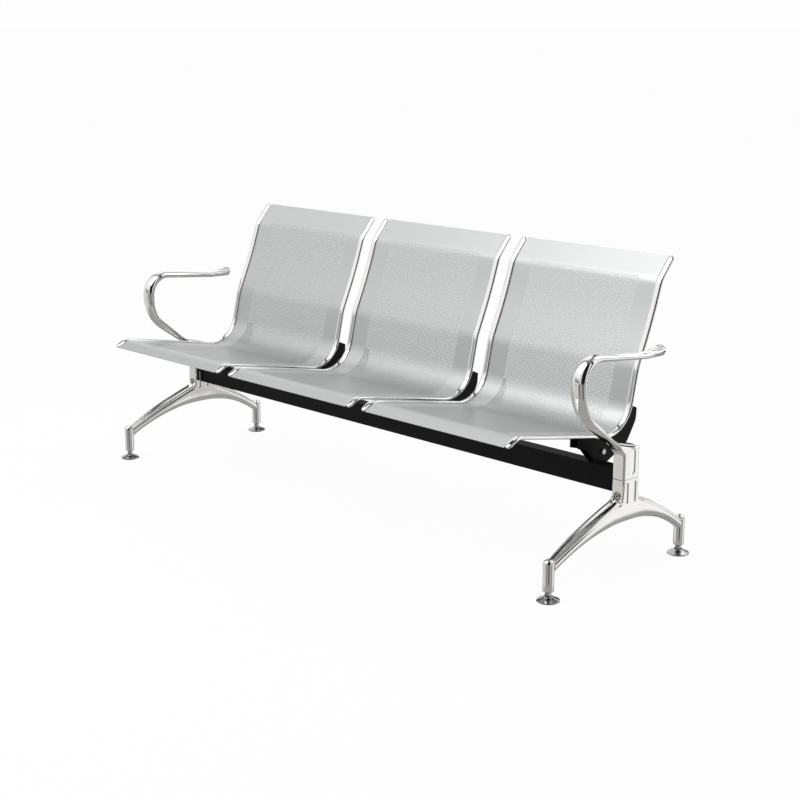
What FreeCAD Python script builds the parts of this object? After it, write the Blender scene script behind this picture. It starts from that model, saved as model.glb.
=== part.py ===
import FreeCAD, Part
import Sketcher
import math
import os

# Three-place beam seat: perforated steel seats with bright edge rails, hung by
# pressed brackets on a rectangular beam that two cast legs carry.
# Millimetres. X runs along the beam, -Y is the front, Z is up from the floor.

doc = FreeCAD.newDocument("beam_seat")
sheet = doc.addObject("Spreadsheet::Sheet", "sizes")

SEATS = 3
OPENINGS = 12
Vector = FreeCAD.Vector
Constraint = Sketcher.Constraint
SIDE_VIEW = FreeCAD.Rotation(Vector(1, 1, 1), 120)

SIZES = {
    # overall
    "seat_gap": 39,
    "seat_to_post": 42,
    "beam_y": 59.8,
    # beam tube and the plates welded on its ends
    "beam_bottom": 214,
    "beam_depth": 40,
    "beam_height": 60,
    "beam_wall": 2.5,
    "end_plate_thick": 8,
    "end_plate_rise": 56,
    # seat line, the top face of the sheet seen from the side
    "seat_corner_back": 70,
    "seat_corner_height": 331,
    "seat_run": 412,
    "seat_rake": 10,
    "lip_run": 39,
    "lip_drop_angle": 29,
    "lower_back_run": 180,
    "lower_back_lean": 12.8,
    "middle_back_run": 124,
    "middle_back_lean": 24,
    "upper_back_run": 107,
    "upper_back_lean": 18.5,
    "top_roll_run": 75,
    "top_roll_lean": 40.5,
    "lip_bend": 35,
    "seat_bend": 95,
    "lumbar_bend": 120,
    "back_hollow": 1200,
    "top_bend": 60,
    # seat sheet and its edge rails
    "seat_width": 526,
    "sheet_thick": 1.5,
    "rail_width": 20,
    "rail_height": 9,
    "rail_edge": 5,
    # openings punched in the sheet
    "opening": 16,
    "plain_side": 57,
    "plain_front": 18,
    "plain_top": 12,
    # pressed seat brackets
    "bracket_width": 28,
    "bracket_metal": 3,
    "bracket_inset": 1,
    "bracket_reach": 95,
    "bracket_nose": 44,
    "bracket_belly": 59,
    "bracket_heel": 95,
    "bracket_back": 131,
    "bracket_belly_height": 317,
    "bracket_heel_height": 309,
    "bracket_back_height": 365,
    "bracket_top_height": 396,
    "bracket_tip_height": 416,
    "bracket_front_bend": 40,
    "bracket_rear_bend": 45,
    # saddle between the bracket's cheeks and its cross bolt
    "saddle_length": 34,
    "saddle_height": 42,
    "saddle_metal": 4,
    "cross_bolt_rise": 30,
    "cross_bolt_radius": 4,
    "cross_bolt_flats": 13,
    "cross_bolt_head": 5.3,
    "cross_nut_height": 6.5,
    "hole_clearance": 0.4,
    # studs welded under the seat and their nuts
    "stud_radius": 3,
    "stud_length": 13,
    "stud_nut_flats": 10,
    "stud_nut_height": 5,
    "front_stud_run": 125,
    "rear_stud_angle": 42,
    # leg and arm castings
    "post_width": 38,
    "post_depth": 60,
    "post_forward": 8,
    "casting_round": 6,
    "split_height": 254,
    "front_root_height": 204,
    "rear_root_height": 206,
    "limb_end_height": 97,
    "limb_end_low": 66,
    "limb_end_width": 25,
    "arch_height": 143,
    "arch_crown": 0.55,
    "front_arch_bend": 530,
    "rear_arch_bend": 340,
    "limb_bow": 9,
    "front_limb_bend": 1500,
    "rear_limb_bend": 800,
    "root_bend": 20,
    "front_taper_bend": 5000,
    "rear_taper_bend": 3000,
    "front_reach": 291,
    "rear_reach": 224,
    "channel_width": 14,
    "channel_depth": 4,
    "socket_radius": 14,
    "socket_bottom": 26,
    "socket_top": 107,
    # tongue of the arm inside the leg and the bolt that holds it
    "tongue_width": 20,
    "tongue_depth": 38,
    "tongue_length": 54,
    "tongue_clearance": 0.2,
    "leg_bolt_height": 212,
    "leg_bolt_radius": 4,
    "leg_bolt_length": 22,
    "leg_bolt_head_radius": 6.5,
    "leg_bolt_head": 8,
    "leg_bolt_recess": 10,
    "leg_bolt_sink": 6,
    # arm, from the beam's axis: outer edge, then inner edge
    "arm_foot_height": 326,
    "arm_foot_bend": 16,
    "arm_front": 209,
    "arm_knee_height": 440,
    "arm_knee_bend": 138,
    "arm_brow_height": 596,
    "arm_brow_bend": 68,
    "arm_dip": 53,
    "arm_dip_top": 563.5,
    "arm_dip_low": 548.5,
    "arm_dip_bend": 120,
    "arm_end": 115,
    "arm_end_top": 575,
    "arm_end_low": 548,
    "arm_end_bend": 10,
    "arm_hollow": 183,
    "arm_hollow_high": 571,
    "arm_hollow_high_bend": 52,
    "arm_hollow_low": 455,
    "arm_hollow_low_bend": 88,
    "arm_saddle": 69,
    "arm_saddle_height": 360,
    "arm_saddle_bend": 60,
    "arm_heel_height": 336.5,
    "arm_heel_bend": 14,
    # slot on the outer face of the arm, and the flutes of the leg below it
    "slot_width": 25,
    "slot_depth": 2,
    "slot_low": 264,
    "slot_high": 332,
    "flute_width": 5,
    "flute_spacing": 30,
    "flute_depth": 1.5,
    "flute_low": 196,
    "flute_high": 248,
    # bolts through the end plates into the arms
    "arm_bolt_radius": 5,
    "arm_bolt_depth": 18,
    "arm_bolt_flats": 17,
    "arm_bolt_head": 6.4,
    "arm_bolt_low": 18,
    "arm_bolt_spacing": 24,
    # levelling glides
    "pad_radius": 28.5,
    "pad_edge": 4.5,
    "pad_lift": 0.8,
    "hub_radius": 11,
    "hub_base": 11.5,
    "hub_top": 14.7,
    "liner_radius": 26.5,
    "liner_thick": 2,
    "stem_radius": 5,
    "stem_foot_radius": 7,
    "stem_foot_thick": 4,
    "collar_base": 15.2,
    "collar_flats": 14,
    "collar_height": 8,
    "stem_top": 66,
    "running_gap": 0.05,
    "free_gap": 0.3,
    "insert_radius": 8,
    "insert_length": 20,
    "stem_room": 24,
}


class Size:
    """A number that carries the formula it comes from."""

    def __init__(self, value, formula):
        self.value = float(value)
        self.formula = formula

    def __add__(self, other):
        other = as_size(other)
        return Size(self.value + other.value, f"({self.formula} + {other.formula})")

    def __sub__(self, other):
        other = as_size(other)
        return Size(self.value - other.value, f"({self.formula} - {other.formula})")

    def __mul__(self, other):
        other = as_size(other)
        return Size(self.value * other.value, f"({self.formula} * {other.formula})")

    def __truediv__(self, other):
        other = as_size(other)
        return Size(self.value / other.value, f"({self.formula} / {other.formula})")

    def __neg__(self):
        return Size(-self.value, f"(-1 * {self.formula})")


def as_size(number):
    if isinstance(number, Size):
        return number
    return Size(number, f"({number})")


def sine(angle):
    return Size(math.sin(math.radians(angle.value)), f"sin({angle.formula} * 1deg)")


def cosine(angle):
    return Size(math.cos(math.radians(angle.value)), f"cos({angle.formula} * 1deg)")


def tangent(angle):
    return Size(math.tan(math.radians(angle.value)), f"tan({angle.formula} * 1deg)")


def fill_sheet():
    for row, (name, number) in enumerate(SIZES.items(), start=1):
        sheet.set(f"A{row}", name)
        sheet.set(f"B{row}", str(number))
        sheet.setAlias(f"B{row}", name)
    doc.recompute()


def cell(name):
    return Size(SIZES[name], f"sizes.{name}")


def bind(thing, prop, size, unit=""):
    thing.setExpression(prop, as_size(size).formula + unit)


# Sketches

ZERO = Size(0, "0")


def origin_plane(body, role):
    return [plane for plane in body.Origin.OriginFeatures if plane.Role == role][0]


def new_sketch(body, name, role="YZ_Plane", lift=None):
    """A sketch on a body's own plane, or in side view when there is no body."""
    if body is None:
        sketch = doc.addObject("Sketcher::SketchObject", name)
        sketch.Placement = FreeCAD.Placement(Vector(), SIDE_VIEW)
        return sketch
    sketch = body.newObject("Sketcher::SketchObject", name)
    sketch.AttachmentSupport = [(origin_plane(body, role), "")]
    sketch.MapMode = "FlatFace"
    if lift is not None:
        sketch.setExpression("AttachmentOffset.Base.z", as_size(lift).formula)
    return sketch


def pin_point(sketch, shape, end, across, up):
    """Holds one point of a sketch at the two formulas given."""
    for kind, size, axis in (("DistanceX", across, -2), ("DistanceY", up, -1)):
        if size.value == 0:
            sketch.addConstraint(Constraint("PointOnObject", shape, end, axis))
            continue
        row = sketch.addConstraint(Constraint(kind, -1, 1, shape, end, size.value))
        sketch.setExpression(f"Constraints[{row}]", size.formula)


def flat_point(corner):
    return Vector(corner[0].value, corner[1].value, 0)


def trace(sketch, corners, closed=True):
    """Draws straight runs from corner to corner; a third value rounds that corner."""
    corners = [tuple(as_size(number) for number in corner) for corner in corners]
    count = len(corners)
    entry = []
    leave = []
    for index, corner in enumerate(corners):
        here = flat_point(corner)
        if len(corner) < 3:
            entry.append(here)
            leave.append(here)
            continue
        back = (flat_point(corners[index - 1]) - here).normalize()
        ahead = (flat_point(corners[(index + 1) % count]) - here).normalize()
        reach = corner[2].value / math.tan(back.getAngle(ahead) / 2)
        entry.append(here + back * reach)
        leave.append(here + ahead * reach)
    runs = count if closed else count - 1
    lines = []
    for index in range(runs):
        segment = Part.LineSegment(leave[index], entry[(index + 1) % count])
        lines.append(sketch.addGeometry(segment))
    for index, corner in enumerate(corners):
        first = not closed and index == 0
        last = not closed and index == count - 1
        if first:
            pin_point(sketch, lines[0], 1, corner[0], corner[1])
        elif last:
            pin_point(sketch, lines[-1], 2, corner[0], corner[1])
        elif len(corner) < 3:
            before = lines[index - 1]
            sketch.addConstraint(Constraint("Coincident", before, 2, lines[index], 1))
            pin_point(sketch, lines[index], 1, corner[0], corner[1])
        else:
            round_corner(sketch, corner, lines[index - 1], lines[index], entry[index], leave[index])
    return sketch


def round_corner(sketch, corner, before, after, start, end):
    here = flat_point(corner)
    radius = corner[2]
    inward = ((start - here) + (end - here)).normalize()
    half = (start - here).getAngle(end - here) / 2
    centre = here + inward * (radius.value / math.sin(half))
    arc = sketch.addGeometry(Part.Arc(start, centre - inward * radius.value, end))
    point = sketch.addGeometry(Part.Point(here), True)
    pin_point(sketch, point, 1, corner[0], corner[1])
    sketch.addConstraint(Constraint("PointOnObject", point, 1, before))
    sketch.addConstraint(Constraint("PointOnObject", point, 1, after))
    near = 1 if (sketch.getPoint(arc, 1) - start).Length < 1e-6 else 2
    sketch.addConstraint(Constraint("Tangent", before, 2, arc, near))
    sketch.addConstraint(Constraint("Tangent", after, 1, arc, 3 - near))
    row = sketch.addConstraint(Constraint("Radius", arc, radius.value))
    sketch.setExpression(f"Constraints[{row}]", radius.formula)


def circle(sketch, across, up, radius):
    across, up, radius = as_size(across), as_size(up), as_size(radius)
    centre = Vector(across.value, up.value, 0)
    ring = sketch.addGeometry(Part.Circle(centre, Vector(0, 0, 1), radius.value))
    pin_point(sketch, ring, 3, across, up)
    row = sketch.addConstraint(Constraint("Radius", ring, radius.value))
    sketch.setExpression(f"Constraints[{row}]", radius.formula)
    return sketch


def rectangle(sketch, left, low, right, high):
    return trace(sketch, [(left, low), (right, low), (right, high), (left, high)])


def slot(sketch, centre, low, high, width):
    """An upright slot with round ends, drawn between two heights."""
    centre, low, high, width = (as_size(number) for number in (centre, low, high, width))
    left, right = centre - width / 2, centre + width / 2
    upper, lower = high - width / 2, low + width / 2
    corners = [(left, upper), (left, lower), (right, lower), (right, upper)]
    points = [flat_point(corner) for corner in corners]
    crown = Vector(centre.value, high.value, 0)
    foot = Vector(centre.value, low.value, 0)
    down = sketch.addGeometry(Part.LineSegment(points[0], points[1]))
    up = sketch.addGeometry(Part.LineSegment(points[2], points[3]))
    bottom = sketch.addGeometry(Part.Arc(points[1], foot, points[2]))
    top = sketch.addGeometry(Part.Arc(points[3], crown, points[0]))
    for line, end, corner in ((down, 1, 0), (down, 2, 1), (up, 1, 2), (up, 2, 3)):
        pin_point(sketch, line, end, *corners[corner])
    ends = (("Tangent", bottom, down, 2), ("Coincident", bottom, up, 1),
            ("Tangent", top, up, 2), ("Coincident", top, down, 1))
    for kind, arc, line, end in ends:
        place = sketch.getPoint(line, end)
        near = 1 if (sketch.getPoint(arc, 1) - place).Length < 1e-6 else 2
        sketch.addConstraint(Constraint(kind, line, end, arc, near))
    return sketch


# Features

def new_body(name):
    return doc.addObject("PartDesign::Body", name)


def pad(body, sketch, length, both_ways=False, backwards=False):
    feature = body.newObject("PartDesign::Pad", "pad")
    feature.Profile = sketch
    bind(feature, "Length", length)
    feature.Reversed = backwards
    if both_ways:
        feature.SideType = "Symmetric"
    return feature


def pocket(body, sketch, depth, both_ways=False, backwards=False):
    """Cuts a sketch into the body, and stops the build when nothing is cut."""
    doc.recompute()
    before = body.Shape.Volume
    feature = body.newObject("PartDesign::Pocket", "pocket")
    feature.Profile = sketch
    bind(feature, "Length", depth)
    feature.Reversed = backwards
    if both_ways:
        feature.SideType = "Symmetric"
    doc.recompute()
    if body.Shape.Volume > before - 1:
        raise ValueError(f"{sketch.Label} cuts nothing")
    return feature


def revolve(body, sketch, axis="V_Axis"):
    feature = body.newObject("PartDesign::Revolution", "turned")
    feature.Profile = sketch
    feature.ReferenceAxis = (sketch, [axis])
    feature.Angle = 360
    return feature


def fillet(body, feature, radius, wanted):
    """Rounds the edges of a feature that the test picks."""
    doc.recompute()
    names = []
    for index, edge in enumerate(feature.Shape.Edges, start=1):
        if wanted(edge):
            names.append(f"Edge{index}")
    rounding = body.newObject("PartDesign::Fillet", "round")
    rounding.Base = (feature, names)
    bind(rounding, "Radius", radius)
    return rounding


def move(thing, across=ZERO, along=ZERO, up=ZERO):
    for name, size in (("x", across), ("y", along), ("z", up)):
        bind(thing, f"Placement.Base.{name}", size)
    return thing


parts = []


def keep(thing, label):
    thing.Label = label
    parts.append(thing)
    return thing


def group(things, name):
    together = doc.addObject("Part::Compound", name)
    together.Links = things
    return together


def copy(thing, across=ZERO, along=ZERO, up=ZERO, name="copy"):
    return move(group([thing], name), across, along, up)


def mirrored(thing, name):
    other = doc.addObject("Part::Mirroring", name)
    other.Source = thing
    other.Normal = Vector(1, 0, 0)
    return other


def turn(thing, angle):
    """Turns a placed copy about the X direction by a formula in degrees."""
    thing.Placement = FreeCAD.Placement(Vector(), FreeCAD.Rotation(Vector(1, 0, 0), 1))
    bind(thing, "Placement.Rotation.Angle", angle, " * 1deg")


def extrude(base, length, name, start=None):
    solid = doc.addObject("Part::Extrusion", name)
    solid.Base = base
    solid.DirMode = "Custom"
    solid.Dir = Vector(1, 0, 0)
    solid.Solid = True
    bind(solid, "LengthFwd", length)
    if start is not None:
        bind(solid, "Placement.Base.x", start)
    return solid


def offset(base, distance, name, solid_band):
    line = doc.addObject("Part::Offset2D", name)
    line.Source = base
    line.Mode = "Skin"
    line.Join = "Arc"
    line.Fill = solid_band
    bind(line, "Value", distance)
    return line


def boolean(kind, first, second, name):
    result = doc.addObject(f"Part::{kind}", name)
    result.Base = first
    result.Tool = second
    return result


fill_sheet()

# Places that several pieces share

beam_y = cell("beam_y")
beam_top = cell("beam_bottom") + cell("beam_height")
beam_front = beam_y - cell("beam_depth") / 2
beam_back = beam_y + cell("beam_depth") / 2
seat_pitch = cell("seat_width") + cell("seat_gap")
leg_x = seat_pitch * ((SEATS - 1) / 2) + cell("seat_width") / 2 + cell("seat_to_post") + cell("post_width") / 2
post_inner_x = leg_x - cell("post_width") / 2
beam_half = post_inner_x - cell("end_plate_thick")
post_y = beam_y - cell("post_forward")
post_front = post_y - cell("post_depth") / 2
post_back = post_y + cell("post_depth") / 2
front_foot_y = beam_y - cell("front_reach")
rear_foot_y = beam_y + cell("rear_reach")
bracket_offset = cell("seat_width") / 2 - cell("rail_width") - cell("bracket_inset")
cheek_gap = cell("bracket_width") - cell("bracket_metal") * 2
seat_offsets = []
for index in range(SEATS):
    seat_offsets.append(seat_pitch * (index - (SEATS - 1) / 2))


# Beam: rectangular tube with a plate welded on each end

def make_beam():
    body = new_body("beam_tube")
    outer = rectangle(new_sketch(body, "beam_section"),
                      beam_front, cell("beam_bottom"), beam_back, beam_top)
    pad(body, outer, beam_half * 2, both_ways=True)
    wall = cell("beam_wall")
    inner = rectangle(new_sketch(body, "beam_hollow"),
                      beam_front + wall, cell("beam_bottom") + wall, beam_back - wall, beam_top - wall)
    pocket(body, inner, beam_half * 2, both_ways=True)
    keep(body, "beam")


def arm_bolt_heights():
    low = beam_top + cell("arm_bolt_low")
    return [low, low + cell("arm_bolt_spacing")]


def make_end_plates():
    body = new_body("end_plate")
    outline = new_sketch(body, "plate_outline")
    rectangle(outline, beam_front, cell("beam_bottom"), beam_back, beam_top + cell("end_plate_rise"))
    pad(body, outline, cell("end_plate_thick"))
    holes = new_sketch(body, "plate_holes")
    for height in arm_bolt_heights():
        circle(holes, beam_y, height, cell("arm_bolt_radius") + cell("hole_clearance") / 2)
    pocket(body, holes, cell("end_plate_thick"), backwards=True)
    move(body, beam_half)
    keep(body, "end_plate_right")
    keep(mirrored(body, "end_plate_mirror"), "end_plate_left")


# Leg casting

def side_edge(edge):
    """True for the long outline edges on the two faces of a casting."""
    box = edge.BoundBox
    length = box.YLength + box.ZLength
    one_side = box.XMin > cell("limb_end_width").value / 2 - 1
    one_side = one_side or box.XMax < 1 - cell("limb_end_width").value / 2
    top = cell("split_height").value
    at_split = box.ZLength < 1 and abs(box.ZMax - top) < 1
    at_end = box.YLength < 0.1 and box.ZMax < cell("limb_end_height").value + 1
    return one_side and length > 3 and not at_split and not at_end


def halfway(start, end, rise):
    """The point midway between two, lifted by the given height."""
    return ((start[0] + end[0]) / 2, (start[1] + end[1]) / 2 + rise)


def leg_outline(sketch):
    """Side view of the leg: post, two bowed limbs and the arch between them."""
    top, low, end = cell("split_height"), cell("limb_end_low"), cell("limb_end_height")
    front_root = (post_front, cell("front_root_height"))
    rear_root = (post_back, cell("rear_root_height"))
    front_end, rear_end = (front_foot_y, end), (rear_foot_y, end)
    crown = cell("arch_height")
    front_crown = (beam_y - cell("front_reach") * cell("arch_crown"), crown, cell("front_arch_bend"))
    rear_crown = (beam_y + cell("rear_reach") * cell("arch_crown"), crown, cell("rear_arch_bend"))
    bow = cell("limb_bow")
    return trace(sketch, [
        (post_front, top),
        (post_back, top),
        rear_root + (cell("root_bend"),),
        halfway(rear_root, rear_end, bow) + (cell("rear_limb_bend"),),
        rear_end,
        (rear_foot_y, low),
        rear_crown,
        front_crown,
        (front_foot_y, low),
        front_end,
        halfway(front_root, front_end, bow) + (cell("front_limb_bend"),),
        front_root + (cell("root_bend"),),
    ])


def taper_cuts(sketch):
    """Plan view slivers that narrow each limb towards its socket."""
    wide = cell("post_width") / 2
    narrow = cell("limb_end_width") / 2
    clear = wide + 4
    limbs = ((post_front, front_foot_y, "front_taper_bend"), (post_back, rear_foot_y, "rear_taper_bend"))
    for root, foot, bend in limbs:
        for side in (1, -1):
            trace(sketch, [
                (wide * side, root),
                (wide * side, (root + foot) / 2, cell(bend)),
                (narrow * side, foot),
                (clear * side, foot),
                (clear * side, root),
            ])
    return sketch


def cut_channels(body):
    """Sunk channel along the top of each limb, from the post to the socket."""
    bow, end, sunk = cell("limb_bow"), cell("limb_end_height"), cell("channel_depth")
    limbs = (
        ("front", post_front, front_foot_y),
        ("rear", post_back, rear_foot_y),
    )
    for name, root_y, foot_y in limbs:
        root = (root_y, cell(f"{name}_root_height") - sunk)
        tip = (foot_y, end - sunk)
        clear = bow * 2 + sunk
        channel = new_sketch(body, f"{name}_channel")
        trace(channel, [
            root,
            halfway(root, tip, bow) + (cell(f"{name}_limb_bend"),),
            tip,
            (foot_y, tip[1] + clear),
            (root_y, root[1] + clear),
        ])
        pocket(body, channel, cell("channel_width"), both_ways=True)


def make_socket(body, name, foot_y):
    """Round-topped socket that the glide screws into, at the end of a limb."""
    profile = new_sketch(body, name)
    radius, bottom, top = cell("socket_radius"), cell("socket_bottom"), cell("socket_top")
    trace(profile, [
        (foot_y, bottom),
        (foot_y + radius, bottom),
        (foot_y + radius, top, radius - 2),
        (foot_y, top),
    ])
    axis = sketch_axis(profile, foot_y)
    feature = body.newObject("PartDesign::Revolution", "turned")
    feature.Profile = profile
    feature.ReferenceAxis = (profile, [axis])
    feature.Angle = 360
    return feature


def sketch_axis(sketch, across):
    """Adds an upright construction line to a sketch and names it as an axis."""
    start, end = Vector(across.value, 0, 0), Vector(across.value, 10, 0)
    line = sketch.addGeometry(Part.LineSegment(start, end), True)
    pin_point(sketch, line, 1, across, ZERO)
    pin_point(sketch, line, 2, across, as_size(10))
    return "Axis0"


def make_legs():
    body = new_body("leg_casting")
    side = pad(body, leg_outline(new_sketch(body, "leg_side")), cell("post_width"), both_ways=True)
    plan = taper_cuts(new_sketch(body, "leg_plan", "XY_Plane"))
    tapered = pocket(body, plan, cell("split_height"), backwards=True)
    fillet(body, tapered, cell("casting_round"), side_edge)
    cut_channels(body)
    for name, foot_y in (("front_socket", front_foot_y), ("rear_socket", rear_foot_y)):
        make_socket(body, name, foot_y)
    face = -post_front
    recess = new_sketch(body, "bolt_recess", "XZ_Plane", lift=face + cell("root_bend"))
    circle(recess, ZERO, cell("leg_bolt_height"), cell("leg_bolt_recess"))
    pocket(body, recess, cell("root_bend") + cell("leg_bolt_sink"))
    shank = new_sketch(body, "bolt_way", "XZ_Plane", lift=face)
    circle(shank, ZERO, cell("leg_bolt_height"), cell("leg_bolt_radius") + cell("hole_clearance") / 2)
    pocket(body, shank, cell("post_depth") / 2)
    tongue = new_sketch(body, "tongue_way", "XY_Plane", lift=cell("split_height"))
    half_width = cell("tongue_width") / 2 + cell("tongue_clearance")
    half_depth = cell("tongue_depth") / 2 + cell("tongue_clearance")
    rectangle(tongue, -half_width, post_y - half_depth, half_width, post_y + half_depth)
    pocket(body, tongue, cell("tongue_length") + cell("free_gap"))
    for foot_y in (front_foot_y, rear_foot_y):
        seat = new_sketch(body, "insert_way", "XY_Plane", lift=cell("socket_bottom"))
        circle(seat, ZERO, foot_y, cell("insert_radius"))
        pocket(body, seat, cell("insert_length"), backwards=True)
        room = new_sketch(body, "stem_way", "XY_Plane", lift=cell("socket_bottom"))
        circle(room, ZERO, foot_y, cell("stem_radius") + 1)
        pocket(body, room, cell("insert_length") + cell("stem_room"), backwards=True)
    for side in (1, -1):
        flutes = new_sketch(body, "flutes", lift=cell("post_width") / 2 * side)
        for sign in (-1, 1):
            slot(flutes, post_y + cell("flute_spacing") * sign / 2,
                 cell("flute_low"), cell("flute_high"), cell("flute_width"))
        pocket(body, flutes, cell("flute_depth"), backwards=side < 0)
    move(body, leg_x)
    keep(body, "leg_right")
    keep(mirrored(body, "leg_mirror"), "leg_left")


def make_leg_bolts():
    body = new_body("leg_bolt")
    front = post_front + cell("leg_bolt_sink") - cell("leg_bolt_head")
    head = new_sketch(body, "leg_bolt_head_face", "XZ_Plane", lift=-front)
    circle(head, ZERO, cell("leg_bolt_height"), cell("leg_bolt_head_radius"))
    pad(body, head, cell("leg_bolt_head"), backwards=True)
    shank = new_sketch(body, "leg_bolt_shank", "XZ_Plane", lift=-front)
    circle(shank, ZERO, cell("leg_bolt_height"), cell("leg_bolt_radius"))
    pad(body, shank, cell("leg_bolt_head") + cell("leg_bolt_length"), backwards=True)
    key = new_sketch(body, "leg_bolt_key", "XZ_Plane", lift=-front)
    circle(key, ZERO, cell("leg_bolt_height"), cell("leg_bolt_radius") - 1)
    pocket(body, key, cell("leg_bolt_head") / 2)
    move(body, leg_x)
    keep(group([body, mirrored(body, "leg_bolt_mirror")], "leg_bolt_pair"), "leg_bolts")


# Arm casting

def arm_outline(sketch):
    """Side view of the arm: post, forward bend, armrest and turned-up end."""
    front = beam_y - cell("arm_front")
    dip = beam_y + cell("arm_dip")
    end = beam_y + cell("arm_end")
    hollow = beam_y - cell("arm_hollow")
    return trace(sketch, [
        (post_front, cell("split_height")),
        (post_back, cell("split_height")),
        (post_back, cell("arm_heel_height"), cell("arm_heel_bend")),
        (beam_y - cell("arm_saddle"), cell("arm_saddle_height"), cell("arm_saddle_bend")),
        (hollow, cell("arm_hollow_low"), cell("arm_hollow_low_bend")),
        (hollow, cell("arm_hollow_high"), cell("arm_hollow_high_bend")),
        (dip, cell("arm_dip_low"), cell("arm_dip_bend")),
        (end, cell("arm_end_low"), cell("arm_end_bend")),
        (end, cell("arm_end_top"), cell("arm_end_bend")),
        (dip, cell("arm_dip_top"), cell("arm_dip_bend")),
        (front, cell("arm_brow_height"), cell("arm_brow_bend")),
        (front, cell("arm_knee_height"), cell("arm_knee_bend")),
        (post_front, cell("arm_foot_height"), cell("arm_foot_bend")),
    ])


def arm_side_edge(edge):
    """True for the outline edges on the two faces of the arm."""
    box = edge.BoundBox
    at_split = box.ZMax < cell("split_height").value + 1
    return box.XLength < 1 and not at_split


def make_arms():
    body = new_body("arm_casting")
    blank = pad(body, arm_outline(new_sketch(body, "arm_side")), cell("post_width"), both_ways=True)
    fillet(body, blank, cell("casting_round"), arm_side_edge)
    tongue = new_sketch(body, "tongue", "XY_Plane", lift=cell("split_height") - cell("tongue_length"))
    half_width, half_depth = cell("tongue_width") / 2, cell("tongue_depth") / 2
    rectangle(tongue, -half_width, post_y - half_depth, half_width, post_y + half_depth)
    pad(body, tongue, cell("tongue_length") + 10)
    tapped = new_sketch(body, "tongue_bolt_way", "XZ_Plane", lift=-post_front)
    circle(tapped, ZERO, cell("leg_bolt_height"), cell("leg_bolt_radius"))
    pocket(body, tapped, cell("post_depth") / 2)
    ways = new_sketch(body, "arm_bolt_ways", lift=-cell("post_width") / 2)
    for height in arm_bolt_heights():
        circle(ways, beam_y, height, cell("arm_bolt_radius"))
    pocket(body, ways, cell("arm_bolt_depth"), backwards=True)
    recess = new_sketch(body, "outer_slot", lift=cell("post_width") / 2)
    slot(recess, post_y, cell("slot_low"), cell("slot_high"), cell("slot_width"))
    pocket(body, recess, cell("slot_depth"))
    move(body, leg_x)
    keep(body, "arm_right")
    keep(mirrored(body, "arm_mirror"), "arm_left")


def hexagon(body, name, flats, role="YZ_Plane", lift=None):
    """A hexagon of given width across flats, centred on its sketch."""
    sketch = new_sketch(body, name, role, lift)
    reach = cell(flats) / 2 / cosine(as_size(30))
    corners = []
    for number in range(6):
        angle = as_size(60 * number + 30)
        corners.append((reach * cosine(angle), reach * sine(angle)))
    return trace(sketch, corners)


def make_arm_bolts():
    body = new_body("arm_bolt")
    pad(body, hexagon(body, "arm_bolt_hexagon", "arm_bolt_flats"), cell("arm_bolt_head"), backwards=True)
    shank = circle(new_sketch(body, "arm_bolt_shank"), ZERO, ZERO, cell("arm_bolt_radius"))
    pad(body, shank, cell("end_plate_thick") + cell("arm_bolt_depth"))
    bolts = []
    for height in arm_bolt_heights():
        bolt = copy(body, beam_half, beam_y, height)
        bolts += [bolt, mirrored(bolt, "arm_bolt_mirror")]
    keep(group(bolts, "arm_bolt_set"), "arm_bolts")


# Seat line: lip, pan, bend, lumbar crease, upper back and rolled top

def seat_corners():
    corner = (beam_y + cell("seat_corner_back"), cell("seat_corner_height"))
    rake, drop = cell("seat_rake"), cell("lip_drop_angle")
    crest = (corner[0] - cell("seat_run") * cosine(rake), corner[1] + cell("seat_run") * sine(rake))
    tip = (crest[0] - cell("lip_run") * cosine(drop), crest[1] - cell("lip_run") * sine(drop))
    line = [tip, crest + (cell("lip_bend"),), corner + (cell("seat_bend"),)]
    here = corner
    runs = [("lower_back", "lumbar_bend"), ("middle_back", "back_hollow"),
            ("upper_back", "top_bend"), ("top_roll", None)]
    for name, bend in runs:
        length, lean = cell(name + "_run"), cell(name + "_lean")
        here = (here[0] + length * sine(lean), here[1] + length * cosine(lean))
        line.append(here if bend is None else here + (cell(bend),))
    return line


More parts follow.
